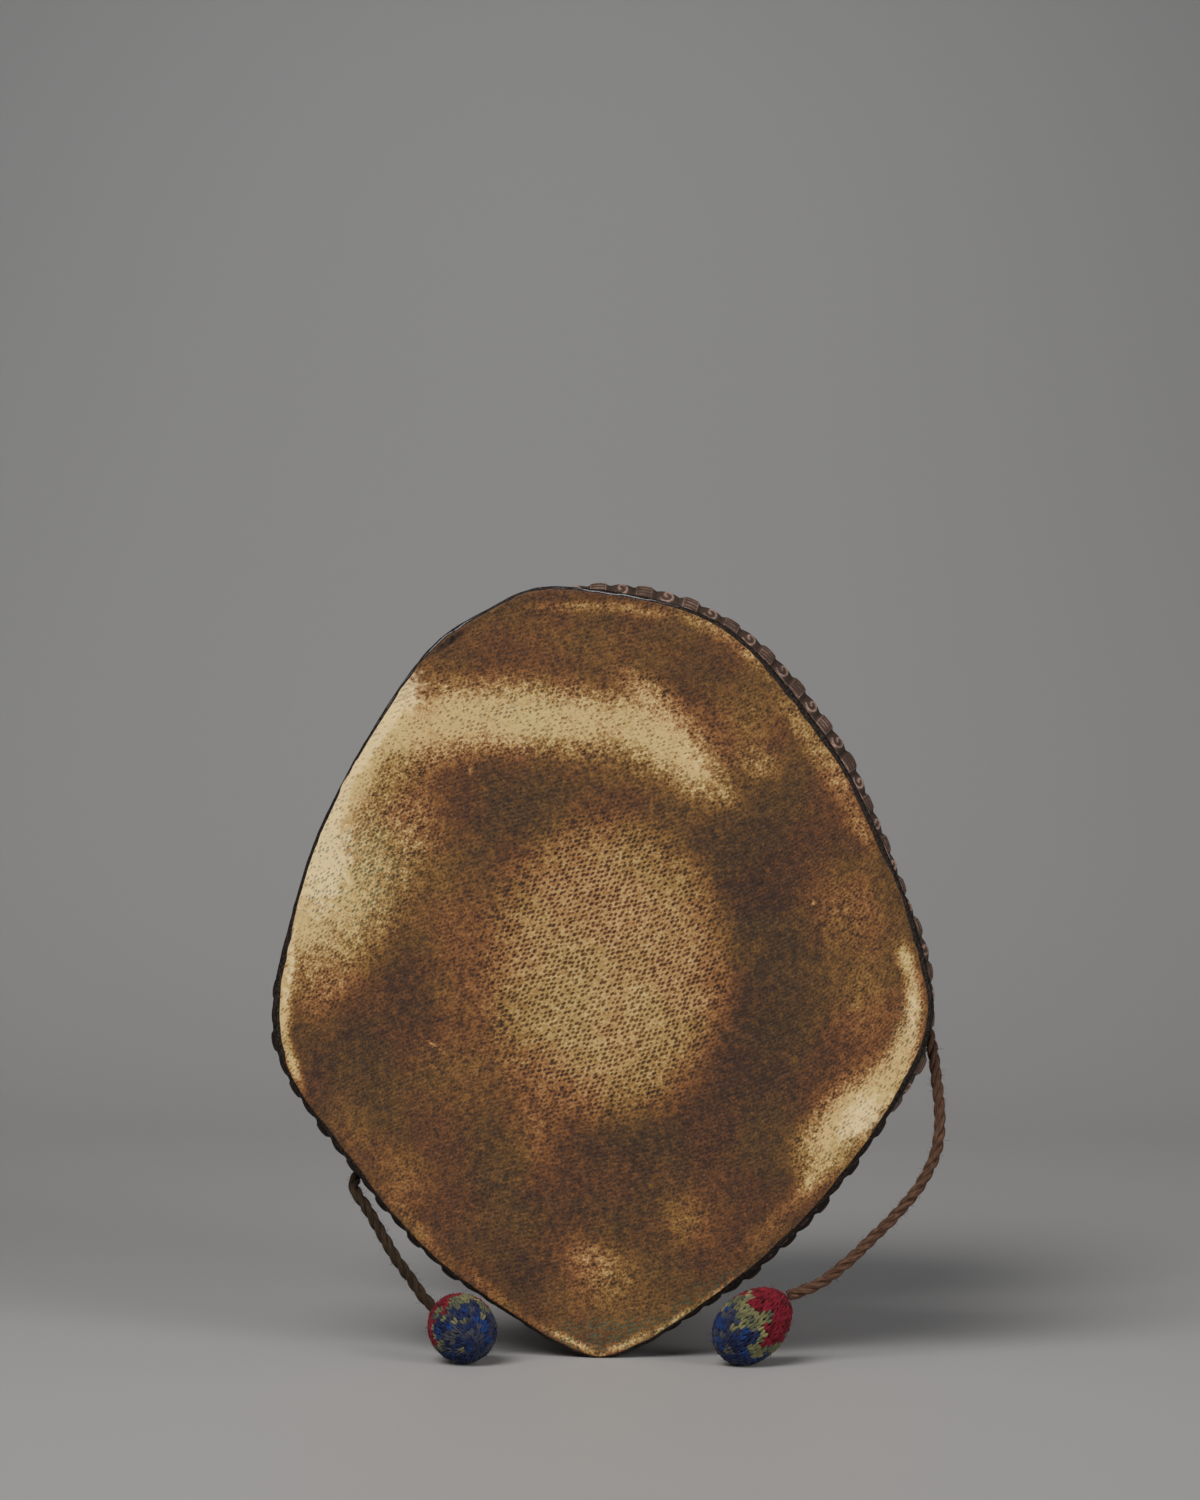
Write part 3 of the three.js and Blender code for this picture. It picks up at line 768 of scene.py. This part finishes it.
def make_hide(end, head, stains, material, seed):
    turn = turns(HIDE_COLUMNS)
    share = np.concatenate([np.linspace(MIDDLE, 0.955, FACE_ROWS), np.linspace(0.96, 1, EDGE_ROWS)])[:, None]
    face = head.rings(turn, HALF_DEPTH, share)
    slack = -SLACK * (1 - share**2) + 0.14 * noise(face, 17, seed) + 0.05 * noise(face, 4, seed + 1)
    wrinkle = 0.1 * noise(face * (1, 0, 1) + 5, 5, seed + 2) * smooth(share, 0.8, 0.97)
    face[..., 1] += head.side * (slack + wrinkle) * (1 - smooth(share, 0.985, 1))

    angle = np.linspace(0, math.pi / 2, ROLL_ROWS)[1:, None]
    ridge = 0.06 * np.sin(angle * 11)
    roll_depth, roll_out = HALF_DEPTH - ROLL_DEPTH * (1 - np.cos(angle)), LAP_OUT * np.sin(angle)
    place = head.rings(turn, roll_depth, 1, roll_out)
    crease = 0.16 * noise(place * (1, 2.4, 1), 1.7, seed + 6) * np.sin(2 * angle)
    roll = head.rings(turn, roll_depth, 1, roll_out + ridge + crease)
    down = np.linspace(0, 1, LAP_ROWS)[1:, None]
    lap_top, lap_end, lap_share = HALF_DEPTH - ROLL_DEPTH, RIM_DEPTH - LAP_LENGTH, wall_share(LAP_LENGTH)
    lap = head.rings(turn, lap_top + (lap_end - lap_top) * down, 1 + (lap_share - 1) * down,
                     LAP_OUT + 0.06 * np.sin(down * 34) + 0.05 * noise(roll[-1:], 6, seed + 3))
    under = [head.rings(turn, lap_end, lap_share, GAP), head.rings(turn, RIM_DEPTH + GAP, 1, GAP),
             head.rings(turn, RIM_DEPTH + GAP, MIDDLE)]
    grid = stand(np.concatenate([face, roll, lap, *under]))

    values = stain_values(grid[..., 0] - HEAD_X, grid[..., 2] - HEAD_HEIGHT, stains)
    edge_distance = np.linalg.norm(head.edge(turn), axis=-1)
    # How far each point lies outside the face's edge
    over = np.broadcast_to(1.1 * angle, (len(roll), HIDE_COLUMNS))
    rest = np.full((len(grid) - len(face) - len(roll), HIDE_COLUMNS), 3.0)
    outside = np.concatenate([(share - 1) * edge_distance, over, rest])
    degrees = head.degrees(turn)
    start = np.interp(degrees, list(BLACK_STARTS), list(BLACK_STARTS.values()))
    start = start + 0.25 * noise(face[-1:], 2.2, seed + 4) + 0.35 * noise(face[-1:], 9, seed + 5)
    border = smooth(outside - start, -0.22, 0.22)
    values["black"] = np.maximum(values["black"], border)
    # A painted highlight: a thin light line along the rolled edge, across its top and upper left only, where
    # the light catches it
    highlight_span = smooth(degrees, 68, 84) * (1 - smooth(degrees, 128, 140))
    values["painted_highlight"] = 0.9 * highlight_span * np.exp(-((outside - start - HIGHLIGHT_OUT) / HIGHLIGHT_HALF_WIDTH) ** 2)
    values["pores"] = pore_places(grid)
    turned_piece(f"{end}_hide", grid, material, values, [f"{end}_skin"])


# ---- copper bands

BOSS_COLUMNS, BAND_ROWS = 20, 44
PEARLS, SCALLOPS = 6, 3  # to a boss
# A boss's height down the band: share of the way down, share of the boss's height
DOME = {0: 0, 0.06: 0.72, 0.157: 1, 0.3: 0.95, 0.463: 0.75, 0.66: 0.12, 0.704: 0}


def curl_relief(x, y):
    """A raised C whose lower end curls in, about the middle of a boss."""
    angle = np.linspace(math.radians(35), math.radians(430), 44)
    radius = 1.6 - 0.19 * (angle - angle[0])
    line_x, line_y = 0.1 + radius * np.cos(angle), 1.25 * radius * np.sin(angle)
    distance = np.min(np.hypot(x[..., None] - line_x, y[..., None] - line_y), axis=-1)
    return np.exp(-(distance / 0.3) ** 2)


def hatch_relief(x, y):
    """A raised square frame with bars across it."""
    inside = np.maximum(np.abs(x) / 1.5, np.abs(y) / 1.9)
    frame_line = np.exp(-((inside - 1) / 0.12) ** 2)
    bars = (0.5 + 0.5 * np.cos(2 * math.pi * y / 0.95)) ** 2
    return np.maximum(frame_line * 0.8, bars * (inside < 0.85) * 0.7)


def make_band(end, head, material, seed):
    rng = np.random.default_rng(seed)
    columns = BOSSES * BOSS_COLUMNS
    turn = turns(columns)
    boss = np.round(turn * BOSSES).astype(int)
    along = turn * BOSSES - boss  # -0.5 to 0.5 across a boss
    down = np.linspace(0, 1, BAND_ROWS)[:, None]
    pitch = head.length / BOSSES

    dome = np.interp(down, list(DOME), list(DOME.values()))
    size = 1 + rng.uniform(-0.14, 0.04, BOSSES)[boss % BOSSES]
    lean = rng.uniform(-0.12, 0.12, BOSSES)[boss % BOSSES]
    bulge = np.clip(1 - np.abs(2 * (along + lean * (down - 0.3))) ** 2.2, 0, 1)
    raised = dome * (VALLEY + 0.12 + (0.88 - VALLEY) * bulge) * size
    x, y = along * pitch * np.ones_like(down), (down - 0.31) * BAND_HEIGHT * np.ones_like(along)
    nudge = rng.uniform(-0.15, 0.15, (2, BOSSES))[:, boss % BOSSES]
    x, y = x + nudge[0], y + nudge[1]
    motif = np.where(boss % 2 == 0, curl_relief(x, y), hatch_relief(x, y))
    motif = motif * smooth(dome, 0.2, 0.6) * smooth(bulge, 0.05, 0.3)
    pearls = np.exp(-((down - 0.8) / 0.032) ** 2) * (0.5 + 0.5 * np.cos(2 * math.pi * along * PEARLS)) ** 0.6
    ridges = np.exp(-((down - 0.89) / 0.018) ** 2) + np.exp(-((down - 0.735) / 0.016) ** 2)
    here = head.rings(turn, RIM_DEPTH - BAND_TOP)
    ragged = 0.5 + 0.5 * noise(here, 1.1, seed + 2)
    lip = np.exp(-(down / 0.03) ** 2) * ragged
    far = smooth(down, 0.93, 1)
    dents = noise(here, 7, seed) * 0.12 + noise(here, 2.1, seed + 1) * 0.06
    scallops = 0.12 * np.cos(2 * math.pi * along * SCALLOPS)
    height = 0.05 + (head.boss_height(turn) - 0.25) * raised + 0.34 * motif + 0.32 * pearls + 0.25 * ridges \
        + 0.3 * lip + far * (0.35 + scallops) + dents * smooth(down, 0, 0.1)
    relief = np.clip(0.34 + 0.16 * dome * bulge + 0.5 * motif + 0.5 * pearls + 0.5 * ridges + 0.9 * lip
                     + 0.3 * far - 0.12 * (1 - bulge) ** 3 * (dome > 0.05), 0, 1)
    degrees = head.degrees(turn)
    # How dark each band is painted: painted shade, with a little dirt
    if head.side < 0:
        # The front band is blackened all round as painted shade; only its lip on the right, the lit side, is
        # left bright as painted light
        lit_right_lip = np.maximum(1 - smooth(degrees, 60, 100), smooth(degrees, 325, 345))
        dirt_and_shade = 0.96 - 0.6 * lit_right_lip * (1 - smooth(down, 0.02, 0.08))
    else:
        # The back band is darker along its left and lower side, under the drum, as painted shade, and a
        # little darker at random as dirt
        shaded_underside = smooth(degrees, 150, 200) * (1 - smooth(degrees, 300, 345))
        dirt_and_shade = 0.1 + 0.6 * shaded_underside + 0.1 * noise(here, 8, seed + 3)
        dirt_and_shade = np.broadcast_to(dirt_and_shade, (BAND_ROWS, columns))

    below = BAND_TOP + BAND_HEIGHT * down
    outside = head.rings(turn, RIM_DEPTH - below, wall_share(below), GAP + SHEET + height)
    inside = [head.rings(turn, RIM_DEPTH - edge, wall_share(edge), GAP + 0.4)
              for edge in (BAND_TOP, BAND_TOP + BAND_HEIGHT)]
    grid = stand(np.concatenate([inside[0], outside, inside[1]]))
    dull = np.zeros((1, columns))
    values = {"relief": np.concatenate([dull, relief, dull]),
              "dirt_and_shade": np.concatenate([dirt_and_shade[:1], dirt_and_shade, dirt_and_shade[-1:]])}
    turned_piece(f"{end}_copper_band", grid, material, values, [f"{end}_band"], loop=True)


# ---- bowls and waist

BOWL_COLUMNS, WALL_ROWS, LINING_ROWS = 200, 70, 14
WAIST_FUZZ, CORE_COLUMNS = 500, 96


def make_bowl(end, head, material, seed):
    turn = turns(BOWL_COLUMNS)
    outer, inner = np.linspace(1, 0, WALL_ROWS)[:, None], np.linspace(0, 1, LINING_ROWS)[:, None]
    wall = outer_wall(outer[:, 0])
    worn = head.rings(turn, RIM_DEPTH - wall[:, :1], wall[:, 1:], 0, smooth(outer, 0.45, 1))
    uneven = 0.16 * noise(worn, 12, seed) + 0.06 * noise(worn, 3, seed + 1)
    outside = head.rings(turn, RIM_DEPTH - wall[:, :1], wall[:, 1:], uneven - 0.1, smooth(outer, 0.45, 1))
    lining = inner_wall(inner[:, 0])
    inside = head.rings(turn, RIM_DEPTH - lining[:, :1], lining[:, 1:], -WALL, smooth(inner, 0.45, 1))
    floor_depth = RIM_DEPTH - BOWL_DEPTH + CROWN
    ends = [head.rings(turn, GAP / 2, MIDDLE, 0, 1), head.rings(turn, GAP / 2, NECK_SHARE, -0.1, 1),
            head.rings(turn, floor_depth, MIDDLE, 0, 1)]
    grid = np.concatenate([ends[0], ends[1], outside, inside, ends[2]])
    turned_piece(f"{end}_wooden_bowl", grid, material, {}, [f"{end}_bowl"])


def make_binding(material):
    radius = BINDING_OUT - CORD / 2
    turn_length = 2 * math.pi * radius
    angle = np.linspace(0, 2 * math.pi * BINDING_TURNS, round(BINDING_TURNS * turn_length / 0.5))
    y = np.interp(angle, [0, angle[-1]], [-0.5, 0.5]) * CORD * (BINDING_TURNS - 1)
    helix = np.stack([HEAD_X + radius * np.cos(angle), y, HEAD_HEIGHT + radius * np.sin(angle)], -1)
    strands = twisted(helix, CORD / 2 - 0.03, 5.5, 2, 7)
    rng = np.random.default_rng(5)
    chosen = rng.integers(0, len(helix), WAIST_FUZZ)
    outward = unit((helix[chosen] - (HEAD_X, 0, HEAD_HEIGHT)) * (1, 0, 1))
    fuzz = whiskers(helix[chosen] + outward * CORD * 0.35, outward, 1.2, 0.03, rng)

    # A plain ring fills the inside of the turns
    around = np.linspace(0, 2 * math.pi, CORE_COLUMNS + 1)[:-1]
    low, high, half = NECK_RADIUS + GAP, BINDING_OUT - CORD * 0.8, BINDING_TURNS * CORD / 2 - 0.6
    core_points = np.concatenate([
        np.stack([HEAD_X + r * np.cos(around), np.full_like(around, y), HEAD_HEIGHT + r * np.sin(around)], -1)
        for r, y in ((low, -half), (high, -half), (high, half), (low, half))
    ])
    core_faces = grid_faces(4, CORE_COLUMNS, loop_rows=True)
    if signed_volume(core_points, core_faces) < 0:
        core_faces = core_faces[:, ::-1]
    core_part = (core_points, core_faces.tolist(), np.zeros_like(core_points))
    points, faces, fibre = join([strands, fuzz, core_part])
    make_piece("waist_cord_binding", points, faces, material, {"fibre": fibre}, ["waist_binding"])


# ---- beaters and cords

YARN = {
    "blue": [
        (32, 46, 90), (24, 34, 70), (62, 66, 84), (30, 62, 120), (48, 54, 80), (38, 48, 84), (78, 78, 84),
    ],
    "khaki": [(128, 124, 86), (144, 138, 92), (106, 108, 76), (126, 122, 90), (96, 96, 80)],
    "red": [(126, 23, 37), (140, 29, 43), (102, 17, 31), (132, 25, 39)],
}
STITCH = 1.2  # a stitch's height and width
BEATER_ZONES = {"left": (-22, -4), "right": (-22, 6)}  # where blue ends and where red starts, in degrees
UNDER = 0.85  # from the outside of the stitches to the egg beneath them
STITCH_STEPS, STITCH_SIDES = 7, 7
STRAY = 0.03  # the chance that a stitch shows through in another colour
# The egg under the stitches is near black, as painted shade in the gaps between stitches
EGG_ROWS, EGG_COLUMNS, EGG_SHADE_COLOUR = 26, 40, (40, 34, 40)
BEATER_FUZZ, CORD_FUZZ = 420, 7  # whiskers on a beater, and on each millimetre of cord


def egg_profile(inset, steps=400):
    """Radius and height up a beater's side, from its free end to its cord end."""
    angle = np.linspace(-math.pi / 2, math.pi / 2, steps)
    taper = 1 - 0.1 * np.sin(angle)
    radius, half_length = BEATER_RADIUS - inset, BEATER_HALF_LENGTH - inset
    return np.stack([radius * np.cos(angle) * taper, half_length * np.sin(angle)], -1)


def beater_axes(end):
    centre, towards = (np.array(part, float) for part in BEATERS[end])
    up = unit(towards)
    across = unit(np.cross(up, (0, 0, 1)))
    return centre, across, np.cross(up, across), up


def make_beater(end, material, seed):
    rng = np.random.default_rng(seed)
    centre, across, over, up = beater_axes(end)
    profile = egg_profile(UNDER)
    length = lengths_along(profile)
    slope = unit(np.gradient(profile, axis=0))

    def on_egg(along, turn, height):
        """Points at a distance up the side from the free end, a turn round the axis, and a height over the
        egg."""
        r, z = (np.interp(along, length, part) for part in profile.T)
        dr, dz = (np.interp(along, length, part) for part in slope.T)
        r, z = r + dz * height, z - dr * height
        place = r[..., None] * (np.cos(turn)[..., None] * across + np.sin(turn)[..., None] * over)
        return centre + place + z[..., None] * up

    rows = int(length[-1] / (STITCH * 0.92))
    starts, middles, widths, tints = [], [], [], []
    blue_end, red_start = BEATER_ZONES[end]
    for row in range(rows):
        along = (row + 0.5) * length[-1] / rows
        r, z = (np.interp(along, length, part) for part in profile.T)
        count = max(4, round(2 * math.pi * (r + 0.4) / STITCH))
        for stitch in range(count):
            turn = 2 * math.pi * (stitch + 0.5 * (row % 2) + rng.uniform(-0.1, 0.1)) / count
            starts.append(along + rng.uniform(-0.1, 0.1))
            middles.append(turn)
            widths.append(2 * math.pi / count)
            jagged = 7 * math.sin(5 * turn) + 5 * math.sin(2 * turn + 1) + rng.uniform(-10, 10)
            level = math.degrees(math.asin(np.clip(z / (BEATER_HALF_LENGTH - UNDER), -1, 1)))
            zone = "khaki" if level + jagged * 1.3 < red_start else "red"
            if level + jagged < blue_end:
                zone = "blue"
            if rng.random() < STRAY:
                zone = "khaki" if zone == "blue" else "blue" if zone == "khaki" else zone
            tints.append(YARN[zone][rng.integers(len(YARN[zone]))])
    starts, middles, widths, tints = (np.array(part) for part in (starts, middles, widths, tints))

    t = np.linspace(0, 1, STITCH_STEPS)[None]
    parts = []
    for hand in (-1, 1):
        along = np.clip(starts[:, None] + (t - 0.55) * STITCH * 1.45, 0.02, length[-1] - 0.02)
        turn = middles[:, None] + hand * widths[:, None] * (0.08 + 0.36 * t)
        height = 0.26 + 0.26 * np.sin(math.pi * t) + rng.uniform(-0.08, 0.08, (len(starts), 1))
        thick = 0.33 * np.array([0.35, 0.85, 1.05, 1.1, 1.0, 0.8, 0.3])
        parts.append(tubes(on_egg(along, turn, height), thick, STITCH_SIDES))
    colours = np.array([linear(tint) for tint in tints])
    stitch_colour = np.repeat(colours, STITCH_STEPS * STITCH_SIDES, axis=0)
    parts = [(*part, stitch_colour) for part in parts]

    chosen = rng.integers(0, len(starts), BEATER_FUZZ)
    turn = middles[chosen] + widths[chosen] * rng.uniform(-0.5, 0.5, BEATER_FUZZ)
    roots = on_egg(starts[chosen], turn, np.full(BEATER_FUZZ, 0.6))
    fuzz = whiskers(roots, unit(roots - centre), 1.1, 0.028, rng)
    parts.append((*fuzz, np.repeat(colours[chosen], WHISKER_STEPS * WHISKER_SIDES, axis=0)))

    # The egg beneath the stitches, in the near black of the painted shade between them
    egg_turn = np.arange(EGG_COLUMNS) * 2 * math.pi / EGG_COLUMNS
    along, turn = np.meshgrid(np.linspace(0.02, length[-1] - 0.02, EGG_ROWS), egg_turn, indexing="ij")
    egg = on_egg(along, turn, np.zeros_like(along)).reshape(-1, 3)
    egg_faces = grid_faces(EGG_ROWS, EGG_COLUMNS)
    if signed_volume(egg - centre, egg_faces) < 0:
        egg_faces = egg_faces[:, ::-1]
    caps = [list(range(EGG_COLUMNS)), list(range(len(egg) - EGG_COLUMNS, len(egg)))]
    parts.append((egg, egg_faces.tolist() + caps, np.zeros_like(egg),
                  np.tile(linear(EGG_SHADE_COLOUR), (len(egg), 1))))
    points, faces, fibre, tint = join(parts)
    points = stand(points, 0.02)
    return make_piece(f"{end}_yarn_beater", points, faces, material, {"fibre": fibre, "tint": tint},
                      [f"beater_{end}"])


def make_cord(end, beater, material, seed):
    route = spline(CORD_ROUTES[end], 40)
    total = lengths_along(route)[-1]
    path = resample(route, np.linspace(0, total, round(total / 0.3)))
    strands = twisted(path, CORD / 2 + 0.08, 8.4, 3, 9)
    rng = np.random.default_rng(seed)
    chosen = rng.integers(0, len(path) - 1, round(total * CORD_FUZZ))
    outward = unit(np.cross(path[chosen + 1] - path[chosen], rng.normal(size=(len(chosen), 3))))
    fuzz = whiskers(path[chosen] + outward * CORD * 0.42, outward, 1.1, 0.028, rng)
    points, faces, fibre = join([strands, fuzz])
    name = f"{end}_twisted_cord"
    piece = make_piece(name, points, faces, material, {"fibre": fibre}, [f"cord_{end}"])


make_camera()
make_stage()
hide, copper, wood, yarn = hide_material(), copper_material(), wood_material(), yarn_material()
cord_finish = {
    "left": fibre_material("olive_cord", (28, 20, 13), (66, 51, 35), (46, 34, 22)),
    "right": fibre_material("rosy_cord", (54, 36, 27), (106, 77, 59), (80, 55, 41)),
}
for index, end in enumerate(("left", "right")):
    make_cord(end, make_beater(end, yarn, 31 + index), cord_finish[end], 41 + index)
HEADS = {"front": (Head(-1, FRONT_EDGE), FRONT_STAINS), "back": (Head(1, BACK_EDGE), BACK_STAINS)}
for index, (end, (head, stains)) in enumerate(HEADS.items()):
    make_hide(end, head, stains, hide, 11 + 10 * index)
    make_band(end, head, copper, 51 + 10 * index)
    make_bowl(end, head, wood, 71 + 10 * index)
make_binding(cord_finish["left"])

bpy.context.view_layer.update()
